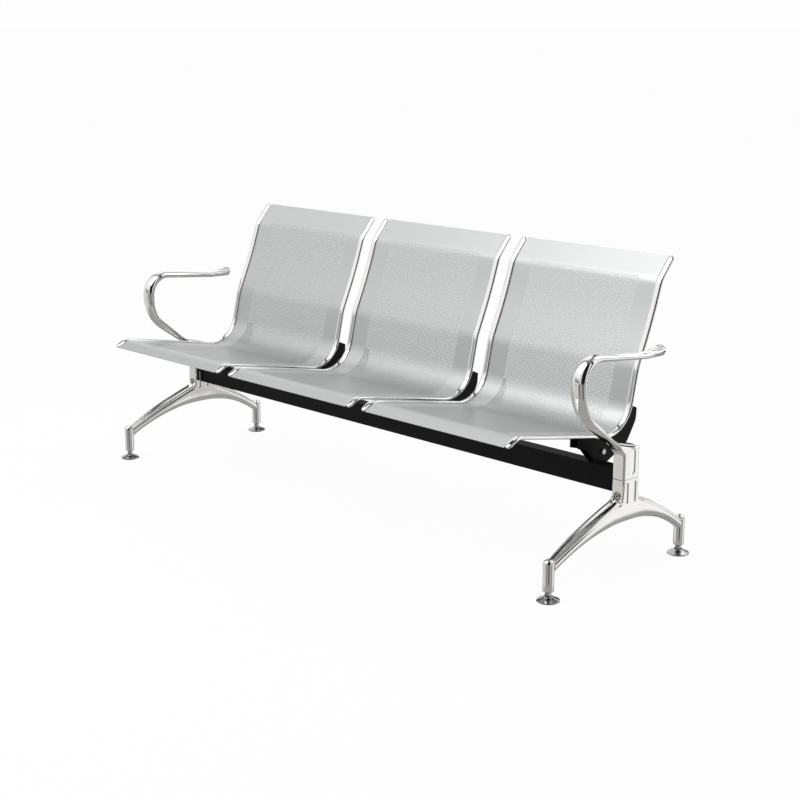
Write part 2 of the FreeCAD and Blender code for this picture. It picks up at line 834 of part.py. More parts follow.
def make_seats():
    corners = seat_corners()
    line = trace(new_sketch(None, "seat_line"), corners, closed=False)
    band = offset(line, cell("sheet_thick"), "sheet_band", True)
    sheet_width = cell("seat_width") - cell("rail_width") * 2
    shell = extrude(band, sheet_width, "seat_sheet", -sheet_width / 2)
    doc.recompute()
    if not below(shell, line):
        bind(band, "Value", -cell("sheet_thick"))
    section = doc.addObject("Sketcher::SketchObject", "rail_section")
    section.AttachmentSupport = [(line, "Edge1")]
    section.MapMode = "NormalToEdge"
    doc.recompute()
    across = section.Placement.Rotation.multVec(Vector(1, 0, 0))
    width, height, edge = cell("rail_width") / 2, cell("rail_height") / 2, cell("rail_edge")
    crown_side = 1 if section.Placement.Rotation.multVec(Vector(0, 1, 0)).z > 0 else -1
    if abs(across.x) > 0.5:
        rail_profile(section, width, height, edge, crown_side, False)
    else:
        crown_side = 1 if across.z > 0 else -1
        rail_profile(section, width, height, edge, crown_side, True)
    rail = doc.addObject("Part::Sweep", "rail")
    rail.Sections = [section]
    rail.Spine = (line, [f"Edge{number}" for number in range(1, len(line.Shape.Edges) + 1)])
    rail.Solid = True
    rail = round_rail_end(rail, corners[0], cell("lip_drop_angle"), "front_end")
    rail = round_rail_end(rail, corners[-1], -cell("top_roll_lean") - 90, "top_end")
    shell = boolean("Cut", shell, opening_rows(), "punched_sheet")
    rail_x = cell("seat_width") / 2 - cell("rail_width") / 2
    for number, seat_x in enumerate(seat_offsets, start=1):
        keep(copy(shell, seat_x, name="shell_copy"), f"seat_shell_{number}")
        keep(copy(rail, seat_x - rail_x, name="rail_copy"), f"edge_rail_{number}_left")
        keep(copy(rail, seat_x + rail_x, name="rail_copy"), f"edge_rail_{number}_right")
    return line


def cutter(plan, length, name):
    """Extrudes a plan sketch equally up and down."""
    solid = doc.addObject("Part::Extrusion", name)
    solid.Base = plan
    solid.DirMode = "Normal"
    solid.Solid = True
    solid.Symmetric = True
    bind(solid, "LengthFwd", length)
    return solid


def round_rail_end(rail, tip, angle, name):
    """Trims one end of the rail to a half round, seen square to its face."""
    plan = doc.addObject("Sketcher::SketchObject", f"{name}_plan")
    half = cell("rail_width") / 2 + 0.3
    clear = half + 3
    trace(plan, [
        (clear, half),
        (clear, -3),
        (-clear, -3),
        (-clear, half),
        (-half, half),
        (-half, ZERO, half * 0.96),
        (half, ZERO, half * 0.96),
        (half, half),
    ])
    trimmer = copy(cutter(plan, cell("rail_height") * 3, name), ZERO, tip[0], tip[1], f"{name}_cutter")
    turn(trimmer, angle)
    return boolean("Cut", rail, trimmer, f"rail_{name}")


def opening_places():
    """Middle and slope of every row of openings, from the front of the pan to the top."""
    corners = seat_corners()
    crest, corner, lumbar, hollow = corners[1], corners[2], corners[3], corners[4]
    rake, lean, bend = cell("seat_rake"), cell("lower_back_lean"), cell("seat_bend")
    reach = bend * tangent((as_size(90) - lean + rake) / 2)
    runs = [
        (crest, cell("plain_front"), cell("seat_run") - reach, -rake, 10),
        (corner, reach, cell("lower_back_run"), as_size(90) - lean, 3),
        (lumbar, ZERO, cell("middle_back_run"), as_size(90) - cell("middle_back_lean"), 4),
        (hollow, ZERO, cell("upper_back_run") - cell("plain_top"), as_size(90) - cell("upper_back_lean"), 3),
    ]
    places = []
    for start, near, far, slope, rows in runs:
        for row in range(rows):
            along = near + (far - near) * ((row + 0.5) / rows)
            places.append((start[0] + along * cosine(slope), start[1] + along * sine(slope), slope))
    centre = (corner[0] - reach * cosine(rake) + bend * sine(rake),
              corner[1] + reach * sine(rake) + bend * cosine(rake))
    for row in range(5):
        slope = (as_size(90) - lean + rake) * ((row + 0.5) / 5) - rake
        places.append((centre[0] + bend * sine(slope), centre[1] - bend * cosine(slope), slope))
    return places


def opening_rows():
    """Every row of square openings, as one cutter across the sheet."""
    plan = doc.addObject("Sketcher::SketchObject", "opening_plan")
    half = cell("opening") / 2
    pitch = (cell("seat_width") - cell("rail_width") * 2 - cell("plain_side") * 2) / OPENINGS
    for number in range(OPENINGS):
        middle = pitch * (number + 0.5 - OPENINGS / 2)
        rectangle(plan, middle - half, -half, middle + half, half)
    row = cutter(plan, cell("sheet_thick") * 6, "opening_row")
    rows = []
    for along, up, slope in opening_places():
        placed = copy(row, ZERO, along, up, "row_of_openings")
        turn(placed, slope)
        rows.append(placed)
    return group(rows, "all_openings")


def below(shell, line):
    """True when the sheet lies on the underside of the seat line."""
    return shell.Shape.BoundBox.ZMin < line.Shape.BoundBox.ZMin - 0.5


def rail_profile(section, width, height, edge, crown_side, turned):
    """Flat below and crowned above: a D section with two slanting shoulders."""
    shoulder = height * 2 - edge
    outline = [
        (-width, -height),
        (width, -height),
        (width, height - shoulder),
        (width - shoulder, height),
        (shoulder - width, height),
        (-width, height - shoulder),
    ]
    corners = []
    for across, up in outline:
        up = up * crown_side
        corners.append((up, across) if turned else (across, up))
    trace(section, corners)


# Seat brackets: pressed channels under each side of a seat

def make_brackets():
    corner = (beam_y + cell("seat_corner_back"), cell("seat_corner_height"))
    rake, lean = cell("seat_rake"), cell("lower_back_lean")
    bend_line = new_sketch(None, "bend_line")
    trace(bend_line, [
        (corner[0] - cell("seat_run") * cosine(rake), corner[1] + cell("seat_run") * sine(rake)),
        corner + (cell("seat_bend"),),
        (corner[0] + cell("lower_back_run") * sine(lean), corner[1] + cell("lower_back_run") * cosine(lean)),
    ], closed=False)
    outline = new_sketch(None, "bracket_outline")
    nose = beam_y - cell("bracket_reach")
    belly = beam_y - cell("bracket_belly")
    heel = beam_y + cell("bracket_heel")
    back = beam_y + cell("bracket_back")
    trace(outline, [
        (nose, cell("bracket_belly_height") + 10),
        (belly, cell("bracket_belly_height"), cell("bracket_front_bend")),
        (beam_front, beam_top),
        (beam_back, beam_top),
        (heel, cell("bracket_heel_height"), cell("bracket_rear_bend")),
        (back, cell("bracket_back_height"), cell("bracket_rear_bend")),
        (back + 2, cell("bracket_top_height")),
        (beam_y + cell("bracket_heel") - 10, cell("bracket_tip_height")),
        (beam_y, cell("bracket_tip_height")),
        (nose, cell("bracket_tip_height")),
    ])
    width, metal = cell("bracket_width"), cell("bracket_metal")
    under_sheet = offset(bend_line, cell("sheet_thick"), "under_sheet", False)
    under_web = offset(bend_line, cell("sheet_thick") + metal, "under_web", False)
    outer_band = offset(under_sheet, cell("bracket_nose") * 4, "outer_band", True)
    inner_band = offset(under_web, cell("bracket_nose") * 4, "inner_band", True)
    doc.recompute()
    probe = under_sheet.Shape.BoundBox.ZMin
    if probe > bend_line.Shape.BoundBox.ZMin:
        bind(under_sheet, "Value", -cell("sheet_thick"))
        bind(under_web, "Value", -cell("sheet_thick") - metal)
    doc.recompute()
    for band in (outer_band, inner_band):
        if band.Shape.BoundBox.ZMin > under_web.Shape.BoundBox.ZMin - 5:
            bind(band, "Value", -cell("bracket_nose") * 4)
    full = boolean("Common", extrude(outline, width, "bracket_block"),
                   extrude(outer_band, width, "bracket_reach_block"), "bracket_full")
    inside = boolean("Common", extrude(outline, cheek_gap, "bracket_core", metal),
                     extrude(inner_band, cheek_gap, "bracket_core_reach", metal), "bracket_hollow")
    channel = boolean("Cut", full, inside, "bracket_channel")
    bolt_hole = bar_across("cross_bolt_way", cell("cross_bolt_radius") + cell("hole_clearance") / 2, width)
    drilled = boolean("Cut", channel, bolt_hole, "bracket_bolted")
    stud_holes = []
    for number, (place, angle) in enumerate(stud_places(), start=1):
        hole = doc.addObject("Part::Cylinder", f"stud_way_{number}")
        bind(hole, "Radius", cell("stud_radius") + cell("hole_clearance") / 2)
        bind(hole, "Height", cell("stud_length"))
        turn(hole, angle)
        move(hole, width / 2, place[0], place[1])
        stud_holes.append(hole)
    bracket = boolean("Cut", drilled, group(stud_holes, "stud_ways"), "bracket")
    for number, seat_x in enumerate(seat_offsets, start=1):
        keep(copy(bracket, seat_x - bracket_offset, name="bracket_copy"), f"seat_bracket_{number}_left")
        keep(copy(bracket, seat_x + bracket_offset - width, name="bracket_copy"),
             f"seat_bracket_{number}_right")


def bar_across(name, radius, length):
    """A round bar along X on the axis of the cross bolt."""
    bar = doc.addObject("Part::Cylinder", name)
    bar.Placement = FreeCAD.Placement(Vector(), FreeCAD.Rotation(Vector(0, 1, 0), 90))
    bind(bar, "Radius", radius)
    bind(bar, "Height", length)
    return move(bar, ZERO, beam_y, beam_top + cell("cross_bolt_rise"))


def stud_places():
    """Foot and turn of the two studs of a bracket, one on the pan and one on the bend."""
    corner = (beam_y + cell("seat_corner_back"), cell("seat_corner_height"))
    rake, lean, bend = cell("seat_rake"), cell("lower_back_lean"), cell("seat_bend")
    skin = cell("sheet_thick")
    run = cell("front_stud_run")
    pan = (corner[0] - run * cosine(rake) - skin * sine(rake),
           corner[1] + run * sine(rake) - skin * cosine(rake))
    reach = bend * tangent((as_size(90) - lean + rake) / 2)
    centre = (corner[0] - reach * cosine(rake) + bend * sine(rake),
              corner[1] + reach * sine(rake) + bend * cosine(rake))
    angle = cell("rear_stud_angle")
    bow = (centre[0] + (bend + skin) * sine(angle), centre[1] - (bend + skin) * cosine(angle))
    return [(pan, as_size(180) - rake), (bow, as_size(180) + angle)]


def bracket_lefts():
    """X of the left face of every bracket."""
    places = []
    for seat_x in seat_offsets:
        places += [seat_x - bracket_offset, seat_x + bracket_offset - cell("bracket_width")]
    return places


def make_studs():
    stud = new_body("seat_stud")
    circle(new_sketch(stud, "stud_section", "XY_Plane"), ZERO, ZERO, cell("stud_radius"))
    pad(stud, stud.Group[-1], cell("stud_length"))
    nut = new_body("stud_nut")
    lift = cell("bracket_metal")
    pad(nut, hexagon(nut, "stud_nut_hexagon", "stud_nut_flats", "XY_Plane", lift), cell("stud_nut_height"))
    bore = circle(new_sketch(nut, "stud_nut_bore", "XY_Plane", lift), ZERO, ZERO, cell("stud_radius"))
    pocket(nut, bore, cell("stud_nut_height"), backwards=True)
    studs, nuts = [], []
    for left in bracket_lefts():
        for place, angle in stud_places():
            for master, row in ((stud, studs), (nut, nuts)):
                piece = group([master], "stud_copy")
                turn(piece, angle)
                move(piece, left + cell("bracket_width") / 2, place[0], place[1])
                row.append(piece)
    keep(group(studs, "stud_set"), "seat_studs")
    keep(group(nuts, "stud_nut_set"), "seat_stud_nuts")


def make_saddles():
    body = new_body("saddle")
    half, metal = cheek_gap / 2, cell("saddle_metal")
    top = beam_top + cell("saddle_height")
    section = new_sketch(body, "saddle_section", "XZ_Plane", lift=-beam_y)
    trace(section, [
        (-half, beam_top), (half, beam_top), (half, top), (half - metal, top),
        (half - metal, beam_top + metal), (metal - half, beam_top + metal),
        (metal - half, top), (-half, top),
    ])
    pad(body, section, cell("saddle_length"), both_ways=True)
    hole = circle(new_sketch(body, "saddle_bolt_way"), beam_y, beam_top + cell("cross_bolt_rise"),
                  cell("cross_bolt_radius") + cell("hole_clearance") / 2)
    pocket(body, hole, cheek_gap, both_ways=True)
    bolt = new_body("cross_bolt")
    head = hexagon(bolt, "cross_bolt_hexagon", "cross_bolt_flats")
    pad(bolt, head, cell("cross_bolt_head"))
    shank = circle(new_sketch(bolt, "cross_bolt_shank"), ZERO, ZERO, cell("cross_bolt_radius"))
    pad(bolt, shank, cell("bracket_width") + cell("cross_nut_height") + 2, backwards=True)
    nut = new_body("cross_nut")
    pad(nut, hexagon(nut, "cross_nut_hexagon", "cross_bolt_flats"), cell("cross_nut_height"), backwards=True)
    bore = circle(new_sketch(nut, "cross_nut_bore"), ZERO, ZERO, cell("cross_bolt_radius"))
    pocket(nut, bore, cell("cross_nut_height"))
    bolts, nuts = [], []
    height = beam_top + cell("cross_bolt_rise")
    for number, left in enumerate(bracket_lefts(), start=1):
        keep(copy(body, left + cell("bracket_width") / 2, name="saddle_copy"), f"beam_saddle_{number}")
        bolts.append(copy(bolt, left + cell("bracket_width"), beam_y, height, name="cross_bolt_copy"))
        nuts.append(copy(nut, left, beam_y, height, name="cross_nut_copy"))
    keep(group(bolts, "cross_bolt_set"), "bracket_bolts")
    keep(group(nuts, "cross_nut_set"), "bracket_nuts")


# Levelling glides

def make_glides():
    pad_body = new_body("glide_pad")
    lift, gap = cell("pad_lift"), cell("free_gap")
    neck = cell("stem_radius") + cell("running_gap")
    floor = cell("liner_thick") + 1.5
    foot_top = floor + gap + cell("stem_foot_thick")
    trace(new_sketch(pad_body, "pad_profile", "XZ_Plane"), [
        (0, cell("liner_thick")),
        (cell("liner_radius"), cell("liner_thick")),
        (cell("liner_radius"), lift),
        (cell("pad_radius"), lift),
        (cell("pad_radius"), cell("pad_edge")),
        (cell("hub_radius"), cell("hub_base")),
        (cell("hub_radius"), cell("hub_top")),
        (neck, cell("hub_top")),
        (neck, foot_top + gap),
        (cell("stem_foot_radius") + gap, foot_top + gap),
        (cell("stem_foot_radius") + gap, floor),
        (0, floor),
    ])
    revolve(pad_body, pad_body.Group[-1])
    liner = new_body("glide_liner")
    circle(new_sketch(liner, "liner_face", "XY_Plane"), ZERO, ZERO, cell("liner_radius"))
    pad(liner, liner.Group[-1], cell("liner_thick"))
    stem = new_body("glide_stem")
    trace(new_sketch(stem, "stem_profile", "XZ_Plane"), [
        (0, floor + gap),
        (cell("stem_foot_radius"), floor + gap),
        (cell("stem_foot_radius"), foot_top),
        (cell("stem_radius"), foot_top),
        (cell("stem_radius"), cell("stem_top") - 1),
        (cell("stem_radius") - 1, cell("stem_top")),
        (0, cell("stem_top")),
    ])
    revolve(stem, stem.Group[-1])
    collar = hexagon(stem, "stem_collar", "collar_flats", "XY_Plane", cell("collar_base"))
    pad(stem, collar, cell("collar_height"))
    insert = new_body("glide_insert")
    ring = new_sketch(insert, "insert_section", "XY_Plane", cell("socket_bottom"))
    circle(ring, ZERO, ZERO, cell("insert_radius"))
    circle(ring, ZERO, ZERO, neck)
    pad(insert, ring, cell("insert_length"))
    for side, side_x in (("left", -leg_x), ("right", leg_x)):
        for end, foot_y in (("front", front_foot_y), ("rear", rear_foot_y)):
            for master, name in ((pad_body, "glide_pad"), (liner, "glide_liner"),
                                 (stem, "glide_stem"), (insert, "glide_insert")):
                keep(copy(master, side_x, foot_y, name=name + "_copy"), f"{name}_{end}_{side}")


def check_and_write():
    doc.recompute()
    for thing in doc.Objects:
        if "Invalid" in thing.State or "Error" in thing.State:
            raise ValueError(f"{thing.Label} failed: {thing.State}")
    for piece in parts:
        if piece.Shape.isNull() or not piece.Shape.isValid() or not piece.Shape.Solids:
            raise ValueError(f"{piece.Label} has no valid solid")
    os.makedirs("parts", exist_ok=True)
    for piece in parts:
        piece.Shape.exportStep(f"parts/{piece.Label}.step")
        print(piece.Label, len(piece.Shape.Solids), round(piece.Shape.Volume))


make_beam()
make_end_plates()
make_legs()
make_leg_bolts()
make_arms()
make_arm_bolts()
make_seats()
make_brackets()
make_studs()
make_saddles()
make_glides()
check_and_write()
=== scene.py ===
import bisect
import math

import bmesh
import bpy
from mathutils import Matrix, Vector


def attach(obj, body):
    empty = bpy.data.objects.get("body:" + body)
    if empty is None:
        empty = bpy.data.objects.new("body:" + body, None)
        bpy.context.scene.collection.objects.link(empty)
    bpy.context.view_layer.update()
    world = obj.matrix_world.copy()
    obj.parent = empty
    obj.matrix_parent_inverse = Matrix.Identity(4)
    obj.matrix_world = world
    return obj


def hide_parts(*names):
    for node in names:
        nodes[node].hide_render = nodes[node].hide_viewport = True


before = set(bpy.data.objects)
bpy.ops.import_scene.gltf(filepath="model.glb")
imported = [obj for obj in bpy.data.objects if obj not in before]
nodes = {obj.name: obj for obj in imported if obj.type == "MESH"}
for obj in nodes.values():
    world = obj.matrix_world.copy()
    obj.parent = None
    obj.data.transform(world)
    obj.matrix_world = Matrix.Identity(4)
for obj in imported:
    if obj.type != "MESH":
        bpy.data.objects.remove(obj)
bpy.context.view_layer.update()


# Studio: a white floor and sweep, one broad lamp high in front of the seats and a
# weaker one behind them. Diffuse surfaces see an even room. Shiny metal sees white
# and grey walls with dark gaps between them, which give plating its streaks.

def tone(code):
    """sRGB hex to the linear colour that a socket takes."""
    parts = [int(code[i:i + 2], 16) / 255 for i in (1, 3, 5)]
    return [p / 12.92 if p <= 0.04045 else ((p + 0.055) / 1.055) ** 2.4 for p in parts] + [1.0]


def add(tree, kind, settings=None, inputs=None):
    """One shader node: attributes from settings, sockets set or linked from inputs."""
    node = tree.nodes.new(kind)
    for name, value in (settings or {}).items():
        setattr(node, name, value)
    for name, value in (inputs or {}).items():
        if isinstance(value, bpy.types.NodeSocket):
            tree.links.new(value, node.inputs[name])
        else:
            node.inputs[name].default_value = value
    return node


scene = bpy.context.scene
scene.view_settings.view_transform = "Standard"

world = bpy.data.worlds.new("studio")
scene.world = world
world.use_nodes = True
air = world.node_tree
air.nodes.clear()
rays = add(air, "ShaderNodeLightPath").outputs
way = add(air, "ShaderNodeTexCoord").outputs["Generated"]
height = add(air, "ShaderNodeSeparateXYZ", inputs={0: way}).outputs["Z"]
lift = add(air, "ShaderNodeMapRange",
           inputs={"Value": height, "From Min": -1.0, "From Max": 1.0}).outputs["Result"]
around = add(air, "ShaderNodeTexGradient", {"gradient_type": "RADIAL"},
             {"Vector": way}).outputs["Fac"]


def bands(value, *stops):
    """A colour ramp from pairs of place and hex colour."""
    ramp = add(air, "ShaderNodeValToRGB", inputs={0: value})
    ramp.color_ramp.elements.remove(ramp.color_ramp.elements[1])
    for number, (place, shade) in enumerate(stops):
        stop = ramp.color_ramp.elements.new(place) if number else ramp.color_ramp.elements[0]
        stop.position = place
        stop.color = tone(shade)
    return ramp.outputs["Color"]


def blend(share, first, second, how="MIX"):
    """From the first colour to the second, or to their product, by share."""
    settings = {"data_type": "RGBA", "blend_type": how}
    return add(air, "ShaderNodeMix", settings, {"Factor": share, 6: first, 7: second}).outputs[2]


# Around counts from the left by the front, 0.25, the right, 0.5, and the back, 0.75.
# Lift counts from straight down, 0, to straight up, 1, and height from -1 to 1.
bright, deep, off, on = "#ffffff", "#2c2d2f", "#000000", "#ffffff"
low_walls = bands(
    around, (0.0, bright), (0.1, "#d2cfcb"), (0.2, "#d2cfcb"), (0.22, "#4a4b4d"),
    (0.235, "#4a4b4d"), (0.25, "#a3a3a3"), (0.33, "#a3a3a3"), (0.35, "#5f6062"),
    (0.41, "#5f6062"), (0.43, "#ababab"), (0.52, "#b4b4b4"), (0.53, "#4a4b4d"),
    (0.545, "#4a4b4d"), (0.56, "#c8c8c8"), (0.602, "#c8c8c8"), (0.62, bright), (0.67, bright),
    (0.69, "#bebebe"), (0.755, "#bebebe"), (0.765, deep), (0.785, deep), (0.795, bright),
    (0.825, bright), (0.835, "#3a3b3d"), (0.86, deep), (0.985, deep), (0.995, bright))
high_walls = bands(
    around, (0.0, bright), (0.22, bright), (0.235, "#5a5b5d"), (0.25, bright), (0.262, bright),
    (0.285, "#191a1c"), (0.46, "#191a1c"), (0.49, bright), (0.525, bright), (0.535, "#2a2b2d"),
    (0.57, "#2a2b2d"), (0.585, bright), (0.825, bright), (0.835, "#4a4b4d"), (0.86, "#4a4b4d"),
    (0.87, bright), (0.955, bright), (0.964, deep), (0.982, deep), (0.99, bright))
above = add(air, "ShaderNodeMapRange",
            inputs={"Value": height, "From Min": -0.08, "From Max": 0.03}).outputs["Result"]
gap = bands(height, (0.1, bright), (0.14, "#27282a"), (0.3, "#27282a"), (0.36, bright))
behind = bands(around, (0.6, off), (0.66, on), (0.85, on), (0.88, off))
dusk = bands(lift, (0.485, bright), (0.5, "#85878a"), (0.57, "#9fa1a4"), (0.66, bright))
ahead = bands(around, (0.04, off), (0.13, on), (0.2, on), (0.24, off))
ends = bands(lift, (0.93, bright), (0.98, "#8f9194"))
under = bands(lift, (0.235, on), (0.29, off))
upper = blend(above, low_walls, high_walls)
for share, shade in ((behind, gap), (ahead, dusk), (1.0, ends)):
    upper = blend(share, upper, shade, "MULTIPLY")
shown = blend(under, upper, tone("#a3a2a0"))
even = add(air, "ShaderNodeBackground", inputs={"Color": tone(bright), "Strength": 0.62})
white = add(air, "ShaderNodeBackground", inputs={"Color": tone("#fefefe"), "Strength": 1.0})
room = add(air, "ShaderNodeBackground", inputs={"Color": shown, "Strength": 1.06})
plain = add(air, "ShaderNodeMath", {"operation": "MAXIMUM"},
            {0: rays["Is Camera Ray"], 1: rays["Is Transmission Ray"]})
seen = add(air, "ShaderNodeMixShader",
           inputs={0: rays["Is Glossy Ray"], 1: even.outputs[0], 2: room.outputs[0]})
sky = add(air, "ShaderNodeMixShader",
          inputs={0: plain.outputs[0], 1: seen.outputs[0], 2: white.outputs[0]})
add(air, "ShaderNodeOutputWorld", inputs={"Surface": sky.outputs[0]})

floor_mesh = bmesh.new()
bmesh.ops.create_circle(floor_mesh, cap_ends=True, segments=64, radius=400)
floor_data = bpy.data.meshes.new("floor")
floor_mesh.to_mesh(floor_data)
floor = bpy.data.objects.new("floor", floor_data)
scene.collection.objects.link(floor)
floor.visible_glossy = False
paper = bpy.data.materials.new("white paper sweep")
paper.use_nodes = True
tree = paper.node_tree
tree.nodes.clear()
rays = add(tree, "ShaderNodeLightPath").outputs
matt = add(tree, "ShaderNodeBsdfDiffuse", inputs={"Color": tone("#f6f6f6")})
glow = add(tree, "ShaderNodeEmission", inputs={"Color": tone(bright), "Strength": 1.0})
share = add(tree, "ShaderNodeMath", {"operation": "MULTIPLY"}, {0: rays["Is Camera Ray"], 1: 0.95})
mixed = add(tree, "ShaderNodeMixShader",
            inputs={0: share.outputs[0], 1: matt.outputs[0], 2: glow.outputs[0]})
add(tree, "ShaderNodeOutputMaterial", inputs={"Surface": mixed.outputs[0]})
floor_data.materials.append(paper)

seat_middle = Vector((0, 0, 0.4))
for name, place, size, watts in (
        ("overhead box", (-0.75, -1.65, 3.4), 2.6, 64),
        ("back box", (1.2, 2.6, 2.6), 1.8, 16)):
    lamp = bpy.data.lights.new(name, "AREA")
    lamp.shape = "SQUARE"
    lamp.size = size
    lamp.energy = watts
    lamp_object = bpy.data.objects.new(name, lamp)
    scene.collection.objects.link(lamp_object)
    lamp_object.location = place
    aim = seat_middle - Vector(place)
    lamp_object.rotation_euler = aim.to_track_quat("-Z", "Y").to_euler()

camera_tilt, camera_turn = 13.46, 46.58
camera_data = bpy.data.cameras.new("camera")
camera_data.sensor_width = 36
camera_data.lens = 71.196
camera = bpy.data.objects.new("camera", camera_data)
scene.collection.objects.link(camera)
camera.location = (3.2585, -2.9653, 1.3613)
camera.rotation_euler = (math.radians(90 - camera_tilt), 0, math.radians(camera_turn))
scene.camera = camera


# Legs and armrests: castings, ground and polished, then nickel-chrome plated.
# The plating is a mirror with a faint wave left by the polishing wheel. Each has
# a core, fused with soft edges, and free stretches that end under its skin.

def surface(name, code, metallic, roughness, noise, relief=None, sheen=None, specular=0.5):
    """A finish with a noise of (scale, detail) on it. By relief, (strength, depth), the noise
    stands up, and by sheen, (low, high), it varies the roughness."""
    finish = bpy.data.materials.new(name)
    finish.use_nodes = True
    tree = finish.node_tree
    shader = tree.nodes["Principled BSDF"]
    for socket, value in (("Base Color", tone(code)), ("Metallic", metallic),
                          ("Roughness", roughness), ("Specular IOR Level", specular)):
        shader.inputs[socket].default_value = value
    spot = add(tree, "ShaderNodeTexCoord").outputs["Object"]
    pattern = add(tree, "ShaderNodeTexNoise",
                  inputs={"Vector": spot, "Scale": noise[0], "Detail": noise[1]}).outputs["Fac"]
    if relief:
        grain = add(tree, "ShaderNodeBump",
                    inputs={"Strength": relief[0], "Distance": relief[1], "Height": pattern})
        tree.links.new(grain.outputs["Normal"], shader.inputs["Normal"])
    if sheen:
        haze = add(tree, "ShaderNodeMapRange",
                   inputs={"Value": pattern, "To Min": sheen[0], "To Max": sheen[1]})
        tree.links.new(haze.outputs["Result"], shader.inputs["Roughness"])
    return finish


def dress(finish, *names):
    """Puts one finish on every listed CAD node."""
    for name in names:
        data = nodes[name].data
        data.materials.clear()
        data.materials.append(finish)


polished_chrome = surface("polished chrome plate", "#ebeae8", 1.0, 0.05, (14.0, 0.0),
                          relief=(0.05, 0.001), sheen=(0.03, 0.09))

# Feet and posts, then the limbs in side view: y, z and the radius of the bend.
front_foot, rear_foot = -0.2312, 0.2838
posts = (("left", -0.889), ("right", 0.889))
post_half, post_front, post_back, split_height = 0.019, 0.0218, 0.0818, 0.254
post_y = (post_front + post_back) / 2
post_edge, leg_post_low, into_socket = 0.0055, 0.182, 0.007
front_top = ((front_foot + into_socket, 0.1003, 0), (-0.1047, 0.1595, 1.5),
             (post_front, 0.204, 0.020), (post_front, 0.244, 0))
front_arch = ((front_foot + into_socket, 0.0702, 0), (-0.10025, 0.143, 0.53),
              (0.046, 0.143, 0))
rear_top = ((rear_foot - into_socket, 0.0995, 0), (0.1828, 0.1605, 0.8),
            (post_back, 0.206, 0.020), (post_back, 0.244, 0))
rear_arch = ((rear_foot - into_socket, 0.0714, 0), (0.183, 0.143, 0.34), (0.058, 0.143, 0))
bend_steps = 24

# A limb's steps, its half width at the foot, and how it swells towards the post.
limb_steps, limb_half, limb_swell, swell_share = 70, 0.0125, 0.0065, 0.6

# Its section: the depth that takes the whole channel, the channel and the ribs as
# shares of the half width, and how far up the sides start to tuck in.
whole_depth, channel_share, rib_share, tuck_share, tuck_most = 0.045, 0.46, 0.92, 0.58, 0.034

# The socket's round top: its flat middle, its rounding, and where that starts.
dome_flat, dome_round, dome_low, dome_steps, socket_turns = 0.002, 0.012, 0.095, 8, 40

# Distances off the post or the arm's bend: where a free stretch starts, clears
# the skin and has its full width, and where the core's skin is low and ends.
stretch_start, stretch_clear, stretch_full, skin_low, core_end = 0.008, 0.012, 0.024, 0.036, 0.041
start_narrowing, clear_narrowing, skin_drop = 0.08, 0.035, 0.0006
core_grain, core_passes = 0.0009, 9

# The bolt's counterbore in the leg's front, and the flutes on its post.
bolt_height, bolt_recess, recess_edge = 0.212, 0.010, 0.0016
recess_mouth, recess_floor = -0.01, 0.0278
sink_depth, sink_wall, sink_reach = 0.0025, 0.0025, 0.006
flute_offset, flute_low, flute_high, flute_half = 0.015, 0.193, 0.246, 0.0035


def round_off(line, per_bend):
    """The corners of a side view, (y, z, radius), as a list of points with the bends rounded."""
    points = [Vector(line[0][:2])]
    for before, here, after in zip(line, line[1:], line[2:]):
        corner = Vector(here[:2])
        back = (Vector(before[:2]) - corner).normalized()
        ahead = (Vector(after[:2]) - corner).normalized()
        half = back.angle(ahead) / 2
        centre = corner + (back + ahead).normalized() * here[2] / math.sin(half)
        start = corner + back * here[2] / math.tan(half) - centre
        turn = math.pi - half * 2
        if back.x * ahead.y - back.y * ahead.x > 0:
            turn = -turn
        for step in range(per_bend + 1):
            points.append(centre + Matrix.Rotation(turn * step / per_bend, 2) @ start)
    points.append(Vector(line[-1][:2]))
    return points


def measured(points):
    """Each point with its distance along the line."""
    far = 0.0
    marks = [(0.0, points[0])]
    for before, here in zip(points, points[1:]):
        far += (here - before).length
        marks.append((far, here))
    return marks


def on_line(marks, far):
    """The place at a distance along a measured line, and the line's direction there."""
    place = bisect.bisect_right(marks, far, key=lambda mark: mark[0])
    place = min(max(place, 1), len(marks) - 1)
    (low, a), (high, b) = marks[place - 1], marks[place]
    return a.lerp(b, (far - low) / (high - low)), (b - a).normalized()


def shared_out(points, count):
    """The same line with evenly spaced points."""
    marks = measured(points)
    return [on_line(marks, marks[-1][0] * number / count)[0] for number in range(count + 1)]


def rounded(turns, power):
    """Places round a ring of radius 1: a circle at power 1, and nearer a box below it."""
    ring = []
    for turn in range(turns):
        angle = 2 * math.pi * turn / turns
        ring.append([math.copysign(abs(part) ** power, part)
                     for part in (math.cos(angle), math.sin(angle))])
    return ring


def ease(value, low, high):
    """0 below low, 1 above high, and a soft rise between."""
    share = min(max((value - low) / (high - low), 0), 1)
    return share * share * (3 - 2 * share)


def loft(mesh, rings):
    """Extrudes one ring of vertices through every ring of places, and closes both ends."""
    ring = bmesh.ops.create_circle(mesh, segments=len(rings[0]), radius=1)["verts"]
    first = list(ring)
    for number, places in enumerate(rings):
        if number:
            edges = {edge for vertex in ring for edge in vertex.link_edges
                     if edge.verts[0] in ring and edge.verts[1] in ring}
            made = {part for part in bmesh.ops.extrude_edge_only(mesh, edges=list(edges))["geom"]
                    if isinstance(part, bmesh.types.BMVert)}
            ring = [next(edge.other_vert(vertex) for edge in vertex.link_edges
                         if edge.other_vert(vertex) in made) for vertex in ring]
        for vertex, place in zip(ring, places):
            vertex.co = place
    bmesh.ops.contextual_create(mesh, geom=first)
    bmesh.ops.contextual_create(mesh, geom=ring)
    bmesh.ops.recalc_face_normals(mesh, faces=mesh.faces)


